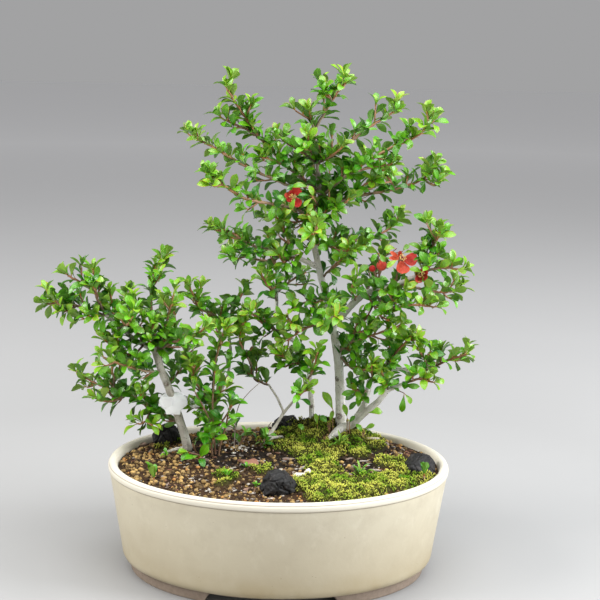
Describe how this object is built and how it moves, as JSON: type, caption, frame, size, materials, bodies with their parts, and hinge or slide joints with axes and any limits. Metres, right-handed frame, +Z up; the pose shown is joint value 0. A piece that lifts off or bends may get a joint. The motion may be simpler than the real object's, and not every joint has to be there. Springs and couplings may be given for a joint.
{
  "type": "potted flowering quince bonsai",
  "caption": "Clump of slender grey quince trunks with small-leaved sprays and a few red flowers, standing in mossy soil in a low oval cream pot on two long feet.",
  "frame": {"origin": "under the middle of the whole plant's outer box, on the surface that the pot stands on; the middle of the pot is 24.7 mm from it towards +X and 10.1 mm towards -Y", "axes": "+Z up, the front of the pot faces -Y, and the pot's long side runs along X"},
  "size_m": [0.4516, 0.2802, 0.5028],
  "materials": {
    "pot_glaze": "cream matt-satin glaze with faint beige and grey-green clouding",
    "drain_mesh": "dark green plastic mesh",
    "soil": "moist baked-clay grains and dark humus, partly under moss",
    "bark": "light grey, finely cracked bark; twigs red-brown",
    "charcoal": "cracked black charcoal",
    "leaf": "small glossy green leaves, young ones yellow-green",
    "petal": "silky coral-red petals",
    "label": "blank white plastic",
    "dry_leaf": "dry brown leaf"
  },
  "bodies": {
    "root": {"pot": "pot_glaze", "drain_screen_left": "drain_mesh", "drain_screen_right": "drain_mesh", "soil": "soil", "main_trunk": "bark", "second_trunk": "bark", "thin_stem": "bark", "left_trunk": "bark", "middle_stem": "bark", "charcoal_front": "charcoal", "charcoal_right": "charcoal", "charcoal_left_back": "charcoal", "charcoal_back": "charcoal", "shoot_front_left": "leaf", "shoot_left": "leaf", "shoot_right": "leaf", "plant_label": "label", "fallen_leaf": "dry_leaf", "flower_right": "petal", "flower_side": "petal", "flower_upper": "petal", "flower_buds": "petal", "spray_top": "leaf", "spray_top_left": "leaf", "spray_high_left_back": "leaf", "spray_high_left_front": "leaf", "spray_mid_left": "leaf", "spray_mid_left_back": "leaf", "spray_high_right_back": "leaf", "spray_high_right_front": "leaf", "spray_right": "leaf", "spray_mid_right_back": "leaf", "spray_crown_right_front": "leaf", "spray_crown_right_back": "leaf", "spray_crown_right_low": "leaf", "spray_inner_right": "leaf", "spray_low_right_front": "leaf", "spray_front": "leaf", "spray_low_back": "leaf", "spray_high_back": "leaf", "spray_high_front": "leaf", "spray_second_top": "leaf", "spray_second_left": "leaf", "spray_second_right": "leaf", "spray_second_low": "leaf", "spray_thin_left": "leaf", "spray_thin_right": "leaf", "spray_far_right": "leaf", "spray_right_back": "leaf", "spray_right_middle": "leaf", "spray_right_low": "leaf", "spray_left_leader": "leaf", "spray_left_far": "leaf", "spray_left_upright": "leaf", "spray_left_front": "leaf", "spray_left_short": "leaf", "spray_left_low": "leaf", "spray_left_back": "leaf", "spray_middle": "leaf", "spray_middle_top": "leaf"}
  },
  "joints": []
}
